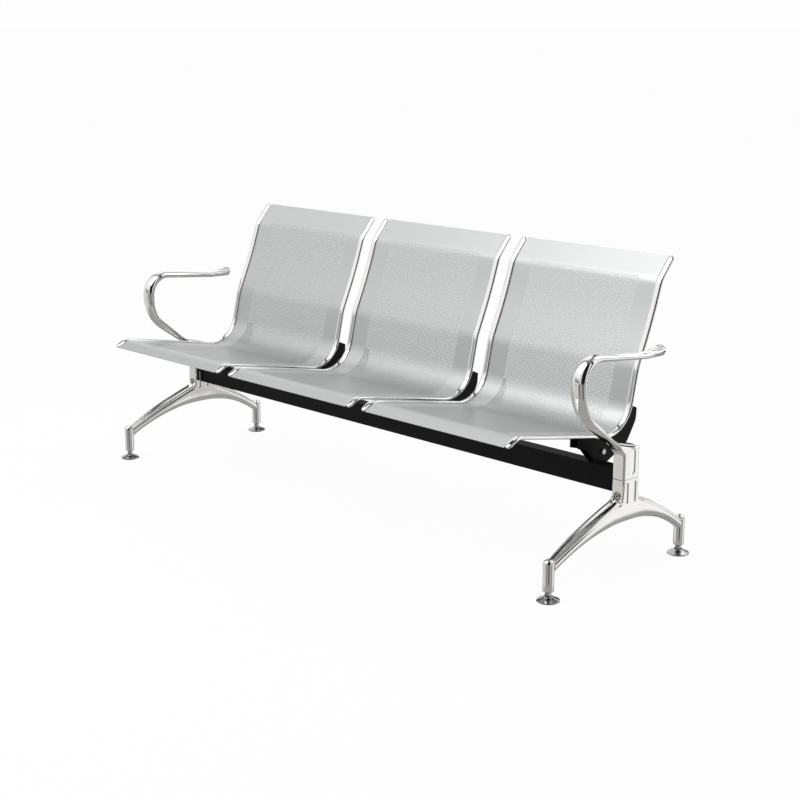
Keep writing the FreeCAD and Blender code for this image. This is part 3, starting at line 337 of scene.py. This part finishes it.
def fused(mesh, name):
    """Overlapping closed shells as one cast skin with soft edges, as a bmesh."""
    data = bpy.data.meshes.new(name)
    mesh.to_mesh(data)
    mesh.free()
    blank = bpy.data.objects.new(name, data)
    scene.collection.objects.link(blank)
    skin = blank.modifiers.new("one skin", "REMESH")
    skin.mode = "VOXEL"
    skin.voxel_size = core_grain
    soft = blank.modifiers.new("tumbled", "SMOOTH")
    soft.factor = 0.5
    soft.iterations = core_passes
    shapes = bpy.context.evaluated_depsgraph_get()
    cast = bpy.data.meshes.new_from_object(blank.evaluated_get(shapes))
    result = bmesh.new()
    result.from_mesh(cast)
    for used in (data, cast):
        bpy.data.meshes.remove(used)
    return result


def joined(mesh, other):
    """Copies the shells of another bmesh into one."""
    data = bpy.data.meshes.new("shell")
    other.to_mesh(data)
    other.free()
    mesh.from_mesh(data)
    bpy.data.meshes.remove(data)
    return mesh


def finished(mesh, name, finish, smooth=True):
    """A bmesh as a piece on the fixed frame of the bench."""
    data = bpy.data.meshes.new(name)
    mesh.to_mesh(data)
    mesh.free()
    data.materials.append(finish)
    for face in data.polygons:
        face.use_smooth = smooth
    piece = bpy.data.objects.new(name, data)
    scene.collection.objects.link(piece)
    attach(piece, "frame")
    return piece


def root_and_stretch(rings, free):
    """A loft's rings in the core, and those of its free stretch, narrowed where it starts."""
    root, stretch = [], []
    for ring in rings:
        places = [Vector(place) for place in ring]
        away = sum(free(place) for place in places) / len(places)
        if away < core_end:
            root.append(places)
        if away > stretch_start:
            middle = sum(places, Vector()) / len(places)
            amount = (clear_narrowing * (1 - ease(away, stretch_clear, stretch_full))
                      + start_narrowing * (1 - ease(away, stretch_start, stretch_clear)))
            stretch.append([place.lerp(middle, amount) for place in places])
    return root, stretch


def sunk_under(mesh, free):
    """Lowers the core's skin where the free stretch takes over."""
    mesh.normal_update()
    for vertex in mesh.verts:
        vertex.co -= vertex.normal * skin_drop * ease(free(vertex.co), stretch_full, skin_low)


def post_block(mesh, post_x, low, high, round_top):
    """A straight stretch of the post, with its upright edges rounded."""
    middle = Matrix.Translation((post_x, post_y, (low + high) / 2))
    size = Matrix.Diagonal((post_half * 2, post_back - post_front, high - low, 1))
    block = bmesh.ops.create_cube(mesh, size=1, matrix=middle @ size)["verts"]
    edges = {edge for vertex in block for edge in vertex.link_edges
             if abs(edge.verts[0].co.z - edge.verts[1].co.z) > post_edge
             or (round_top and edge.verts[0].co.z > low + post_edge)}
    bmesh.ops.bevel(mesh, geom=list(edges), offset=post_edge, offset_type="OFFSET", segments=5,
                    profile=0.5, affect="EDGES", material=-1)


def sink(mesh, face_x, out, centre_y, low, high, half_wide):
    """Presses an upright slot with round ends into the face that looks along out."""
    for vertex in mesh.verts:
        x, y, z = vertex.co
        if (x - face_x) * out > -sink_reach:
            beyond = max(z - (high - half_wide), (low + half_wide) - z, 0)
            inside = half_wide - math.hypot(y - centre_y, beyond)
            vertex.co.x = x - out * sink_depth * ease(inside, -sink_wall / 2, sink_wall / 2)


def limb_ring(post_x, top, low, wide):
    """Section of a limb: a sunk channel between two ribs, and sides that tuck in below.
    The channel's depths are in millimetres, and shrink where the limb is slim."""
    deep = (top - low).length
    millimetre = min(deep / whole_depth, 1) * 0.001
    channel, rib = wide * channel_share, wide * rib_share
    crest = rib - channel
    half = [(across, sunk * millimetre) for across, sunk in (
        (0, 7.6), (channel * 0.45, 7.4), (channel * 0.76, 6.3), (channel * 0.92, 4.2),
        (channel, 1.9), (channel + crest * 0.2, 0.5), (channel + crest * 0.5, 0),
        (channel + crest * 0.8, 0.5), (rib, 2.4), (rib, 5.2), (rib * 0.93, 8),
        (wide * 0.94, 10.5), (wide, 14))]
    tuck = min(deep * tuck_share, tuck_most)
    half += [(wide * share, deep - tuck * rise) for share, rise in (
        (1, 1), (0.975, 0.78), (0.93, 0.57), (0.86, 0.38), (0.76, 0.21), (0.58, 0.07),
        (0.3, 0.01), (0, 0))]
    both = half + [(-across, depth) for across, depth in reversed(half[1:-1])]
    return [(post_x + across, *top.lerp(low, depth / deep)) for across, depth in both]


def limb_rings(post_x, top_line, arch_line):
    """Sections of one bowed limb, from inside its socket up to the post."""
    tops, arches = [shared_out(round_off(line, bend_steps), limb_steps)
                    for line in (top_line, arch_line)]
    rings = []
    for number, (top, low) in enumerate(zip(tops, arches)):
        share = min(number / limb_steps / swell_share, 1)
        wide = limb_half + limb_swell * (1 - (1 - share) ** 1.5)
        rings.append(limb_ring(post_x, top, low, wide))
    return rings


def socket(mesh, post_x, foot_y):
    """A round-topped socket, bored from below for the threaded insert and the stem."""
    outline = [(0.001, 0.0705), (0.006, 0.07), (0.006, 0.0465), (0.0081, 0.046),
               (0.0081, 0.0262), (0.0126, 0.026), (0.0136, 0.0266), (0.014, 0.028),
               (0.014, 0.06), (0.014, dome_low)]
    for step in range(1, dome_steps + 1):
        angle = step * math.pi / (dome_steps * 2)
        outline.append((dome_flat + dome_round * math.cos(angle),
                        dome_low + dome_round * math.sin(angle)))
    loft(mesh, [[(post_x + across * radius, foot_y + along * radius, z)
                 for across, along in rounded(socket_turns, 1)] for radius, z in outline])


def off_post(place):
    """Distance out from the front or the back of the post."""
    return max(post_front - place.y, place.y - post_back)


for side, post_x in posts:
    core, outer = bmesh.new(), bmesh.new()
    front_root, front_stretch = root_and_stretch(
        limb_rings(post_x, front_top, front_arch), off_post)
    rear_root, rear_stretch = root_and_stretch(
        limb_rings(post_x, rear_top, rear_arch), off_post)
    loft(core, front_root + rear_root[::-1])
    loft(outer, front_stretch)
    loft(outer, rear_stretch)
    socket(outer, post_x, front_foot)
    socket(outer, post_x, rear_foot)
    post_block(core, post_x, leg_post_low, split_height, False)
    core = fused(core, f"leg_{side}_core")
    sunk_under(core, off_post)
    for vertex in core.verts:
        x, y, z = vertex.co
        if recess_mouth < y < recess_floor:
            far = math.hypot(x - post_x, z - bolt_height)
            inside = ease(bolt_recess + recess_edge / 2 - far, 0, recess_edge)
            vertex.co.y = y + (recess_floor - y) * inside
    for out in (1, -1):
        for offset in (-flute_offset, flute_offset):
            sink(core, post_x + post_half * out, out, post_y + offset,
                 flute_low, flute_high, flute_half)
    leg = finished(joined(core, outer), f"leg_{side}_casting", polished_chrome)
    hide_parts(f"leg_{side}")


# Armrests: each a casting with its own post, wide and flat at the hoop and
# slimmer towards the tip. Outer and inner edge are given in side view, and the
# section between them is a rounded box below and nearly an oval above.

arm_outer = ((post_front, split_height, 0), (post_front, 0.308, 0.002),
             (post_front, 0.326, 0.016), (-0.1492, 0.440, 0.138), (-0.1492, 0.596, 0.068),
             (0.1128, 0.5635, 0.12), (0.1748, 0.575, 0))
arm_inner = ((post_back, split_height, 0), (post_back, 0.3365, 0.014),
             (-0.0092, 0.360, 0.060), (-0.1232, 0.455, 0.088), (-0.1232, 0.571, 0.052),
             (0.1128, 0.5485, 0.12), (0.1748, 0.548, 0))
arm_widths = (0.038, 0.038, 0.040, 0.044, 0.042, 0.034, 0.030)
arm_squareness = (0.30, 0.50, 0.90, 0.96, 0.96, 0.88, 0.78)
arm_turns, arm_bend_steps = 32, 14
arm_post_top, slot_low, slot_high, slot_half = 0.334, 0.264, 0.332, 0.0125

# Where the bend over the post ends: along the arm's first slope, and straight up.
slope_up, slope_ahead, slope_end, bend_top = 0.6, 0.8, 0.2, 0.4

# The rings that close the tip: distance past the end, and size.
arm_tip = ((-0.0035, 1.0), (-0.0015, 0.95), (0, 0.85), (0, 0.7), (-0.0015, 0.6),
           (-0.003, 0.4), (-0.0035, 0.1))


def arm_ring(post_x, out, back, half_wide, power, shrink):
    """Section of an arm between its two edges, shrunk by the same margin all round."""
    middle, half = (out + back) / 2, (back - out) / 2
    keep = 1 - min(half_wide, half.length) * (1 - shrink) / half_wide
    places = []
    for across, along in rounded(arm_turns, power):
        spot = middle + half * along * shrink
        places.append((post_x + across * half_wide * keep, spot.x, spot.y))
    return places


def arm_rings(post_x):
    """Rings of places from inside the arm's post to the rounded tip."""
    outer, inner = round_off(arm_outer, arm_bend_steps), round_off(arm_inner, arm_bend_steps)
    per_corner = arm_bend_steps + 1
    rings = []
    for number, (out, back) in enumerate(zip(outer, inner)):
        if number < per_corner:
            continue
        corner = (number - 1 + per_corner / 2) / per_corner
        low = min(int(corner), len(arm_widths) - 2)
        share = min(corner - low, 1)
        half_wide = (arm_widths[low] * (1 - share) + arm_widths[low + 1] * share) / 2
        power = arm_squareness[low] * (1 - share) + arm_squareness[low + 1] * share
        rings.append(arm_ring(post_x, out, back, half_wide, power, 1.0))
    ahead = (outer[-1] - outer[-2] + inner[-1] - inner[-2]).normalized()
    for step, shrink in arm_tip:
        rings.append(arm_ring(post_x, outer[-1] + ahead * step, inner[-1] + ahead * step,
                              half_wide, power, shrink))
    return rings


def off_bend(place):
    """Distance up the arm from the bend over the post."""
    return max(place.z * slope_up - place.y * slope_ahead - slope_end, place.z - bend_top)


for side, post_x in posts:
    out = math.copysign(1, post_x)
    core, outer = bmesh.new(), bmesh.new()
    root, stretch = root_and_stretch(arm_rings(post_x), off_bend)
    loft(core, root)
    loft(outer, stretch)
    post_block(core, post_x, split_height, arm_post_top, True)
    core = fused(core, f"arm_{side}_core")
    sunk_under(core, off_bend)
    sink(core, post_x + post_half * out, out, post_y, slot_low, slot_high, slot_half)
    arm = finished(joined(core, outer), f"armrest_{side}", polished_chrome)
    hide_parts(f"arm_{side}")


# Beam, end plates, saddles and seat brackets: mild steel in black powder coat,
# with the fine orange peel that the stoved powder leaves.

powder_black = surface("black powder coat", "#0b090a", 0.0, 0.5, (900.0, 1.0),
                       relief=(0.12, 0.0004), specular=0.12)
dress(powder_black, "beam", "end_plate_left", "end_plate_right")
dress(powder_black, *[f"beam_saddle_{number}" for number in range(1, 7)])
dress(powder_black, *[f"seat_bracket_{number}_{side}"
                      for number in (1, 2, 3) for side in ("left", "right")])


# Seats: one steel sheet each, punched inside a plain border, pressed to its
# curve over the beam and sprayed silver. The blank is laid out flat, x across
# and s along the seat from the front lip, and then bent to the line, which
# again gives y, z and the radius of the bend.

seat_line = (
    (-0.31005, 0.38364, 0), (-0.27594, 0.40254, 0.035), (0.1298, 0.331, 0.095),
    (0.16968, 0.50653, 0.12), (0.22011, 0.61981, 1.2), (0.25407, 0.72128, 0.06),
    (0.30277, 0.77831, 0))
seat_places = (-0.565, 0.0, 0.565)
seat_marks = measured(round_off(seat_line, bend_steps))
seat_length = seat_marks[-1][0]
sheet_half, sheet_thick = 0.243, 0.0015
long_steps, end_steps = 180, 14


def press(blank, seat_x):
    """Bends a flat blank (x, s, lift) to the seat line, and moves it to its seat."""
    for vertex in blank.verts:
        x, s, lift = vertex.co
        at, slope = on_line(seat_marks, s)
        vertex.co = (x + seat_x, at.x - slope.y * lift, at.y + slope.x * lift)


silver_coat = surface("silver powder coat", "#bfc1c1", 0.5, 0.38, (1400.0, 1.0),
                      sheen=(0.34, 0.44))

# The punched field: round holes of 3.6 mm in staggered rows, 6 mm apart, each in
# a cell with the fewest faces that keep the hole round.
hole_half, hole_pitch, hole_sides = 0.0018, 0.006, 8
row_pitch = hole_pitch * math.sqrt(0.75)
holes_across = 62
field_half = hole_pitch * holes_across / 2
field_start = 0.060
stretches = (("pan", 26), ("bend", 22), ("back", 26))
weld = 0.00001


def row_of_holes(blank, count, left, low):
    """A row of equal cells, each a rectangle with a hole, joined side by side."""
    cell = (Matrix.Diagonal((hole_pitch, row_pitch, 1, 1)) @ Matrix.Scale(math.sqrt(2), 4)
            @ Matrix.Rotation(math.pi / 4, 4, "Z"))
    level = Matrix.Rotation(math.pi / hole_sides, 4, "Z")
    for number in range(count):
        at = Matrix.Translation((left + hole_pitch * (number + 0.5), low + row_pitch / 2, 0))
        hole = bmesh.ops.create_circle(blank, segments=hole_sides, radius=hole_half,
                                       matrix=at @ level)["verts"]
        edge = bmesh.ops.create_circle(blank, segments=4, radius=0.5, matrix=at @ cell)["verts"]
        loops = {loop for vertex in hole + edge for loop in vertex.link_edges}
        bmesh.ops.bridge_loops(blank, edges=list(loops))


def slab(blank, left, right, low, high, steps):
    """A plain flat stretch of the blank, cut across so that it can bend."""
    middle = Matrix.Translation(((left + right) / 2, (low + high) / 2, 0))
    size = Matrix.Diagonal(((right - left) / 2, (high - low) / 2, 1, 1))
    bmesh.ops.create_grid(blank, x_segments=1, y_segments=steps, size=1, matrix=middle @ size)


pair = bmesh.new()
row_of_holes(pair, holes_across, -field_half, 0)
row_of_holes(pair, holes_across - 1, -field_half + hole_pitch / 2, row_pitch)
slab(pair, -field_half, -field_half + hole_pitch / 2, row_pitch, row_pitch * 2, 1)
slab(pair, field_half - hole_pitch / 2, field_half, row_pitch, row_pitch * 2, 1)
bmesh.ops.remove_doubles(pair, verts=pair.verts, dist=weld)
bmesh.ops.recalc_face_normals(pair, faces=pair.faces)
pair_data = bpy.data.meshes.new("two rows of holes")
pair.to_mesh(pair_data)
pair.free()


def punched(pairs, low):
    """A stretch of the field, many rows deep, as a flat bmesh."""
    stack = bpy.data.objects.new("stack of rows", pair_data)
    scene.collection.objects.link(stack)
    repeat = stack.modifiers.new("rows", "ARRAY")
    repeat.count = pairs
    repeat.use_relative_offset = False
    repeat.use_constant_offset = True
    repeat.constant_offset_displace = (0, row_pitch * 2, 0)
    repeat.use_merge_vertices = True
    repeat.merge_threshold = weld
    shapes = bpy.context.evaluated_depsgraph_get()
    flat = bpy.data.meshes.new_from_object(stack.evaluated_get(shapes))
    field = bmesh.new()
    field.from_mesh(flat)
    bmesh.ops.translate(field, verts=field.verts, vec=(0, low, 0))
    bpy.data.objects.remove(stack)
    bpy.data.meshes.remove(flat)
    return field


def thicken(piece):
    """The sheet's thickness, behind the face that shows."""
    wall = piece.modifiers.new("sheet", "SOLIDIFY")
    wall.thickness = sheet_thick
    wall.offset = -1
    wall.use_even_offset = False
    rim = piece.modifiers.new("crisp rim", "EDGE_SPLIT")
    rim.split_angle = math.radians(50)


for number, seat_x in enumerate(seat_places, start=1):
    parts = []
    field_end = field_start
    for name, pairs in stretches:
        field = punched(pairs, field_end)
        field_end += row_pitch * 2 * pairs
        press(field, seat_x)
        parts.append(finished(field, f"seat_{number}_punched_{name}", silver_coat, smooth=False))
    border = bmesh.new()
    slab(border, -sheet_half, -field_half, 0, seat_length, long_steps)
    slab(border, field_half, sheet_half, 0, seat_length, long_steps)
    slab(border, -field_half, field_half, 0, field_start, end_steps)
    slab(border, -field_half, field_half, field_end, seat_length, end_steps)
    bmesh.ops.recalc_face_normals(border, faces=border.faces)
    press(border, seat_x)
    parts.append(finished(border, f"seat_{number}_border", silver_coat))
    for part in parts:
        thicken(part)
        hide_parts(f"seat_shell_{number}")


# Edge rails: solid drawn strips, crowned on the face and rounded at both ends,
# bent to the seat line, welded to the sheet and plated.

rail_places = (("left", -0.253), ("right", 0.253))
rail_half, rail_rise, rail_end, tip_rise = 0.010, 0.0045, 0.013, 0.2
rail_section = rounded(20, 0.9)
end_stations = [0.0, 0.0003, 0.001, 0.002, 0.0035, 0.0055, 0.008, 0.010]
rail_stations = end_stations + [rail_end + (seat_length - rail_end * 2) * step / long_steps
                                for step in range(long_steps + 1)]
rail_stations += [seat_length - near for near in reversed(end_stations)]
for number, seat_x in enumerate(seat_places, start=1):
    for side, rail_x in rail_places:
        rings = []
        for here in rail_stations:
            near = min(here, seat_length - here) / rail_half
            full = math.sqrt(1 - (1 - min(near, 1)) ** 2)
            rings.append([(rail_x + rail_half * across * full, here,
                           rail_rise * up * (tip_rise + (1 - tip_rise) * full))
                          for across, up in rail_section])
        strip = bmesh.new()
        loft(strip, rings)
        press(strip, seat_x)
        rail = finished(strip, f"seat_{number}_rail_{side}", polished_chrome)
        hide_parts(f"edge_rail_{number}_{side}")


# Fasteners: zinc plated steel, slightly dull and warm.

zinc_plate = surface("bright zinc plate", "#b9bbb8", 1.0, 0.3, (300.0, 3.0), sheen=(0.22, 0.42))
dress(zinc_plate, "leg_bolts", "arm_bolts", "bracket_bolts", "bracket_nuts",
      "seat_studs", "seat_stud_nuts")


# Levelling feet: a turned and plated pad on a threaded stem, in a brass insert
# pressed into the leg, with a rubber ring under the pad.

turned_chrome = surface("turned chrome plate", "#b4b5b6", 1.0, 0.16, (60.0, 2.0),
                        sheen=(0.1, 0.24))
brass = surface("turned brass", "#b08d57", 1.0, 0.3, (80.0, 2.0), sheen=(0.22, 0.4))
rubber = surface("black rubber", "#1c1c1d", 0.0, 0.75, (700.0, 2.0), relief=(0.2, 0.0004))
for corner in ("front_left", "front_right", "rear_left", "rear_right"):
    dress(turned_chrome, f"glide_pad_{corner}", f"glide_stem_{corner}")
    dress(brass, f"glide_insert_{corner}")
    dress(rubber, f"glide_liner_{corner}")
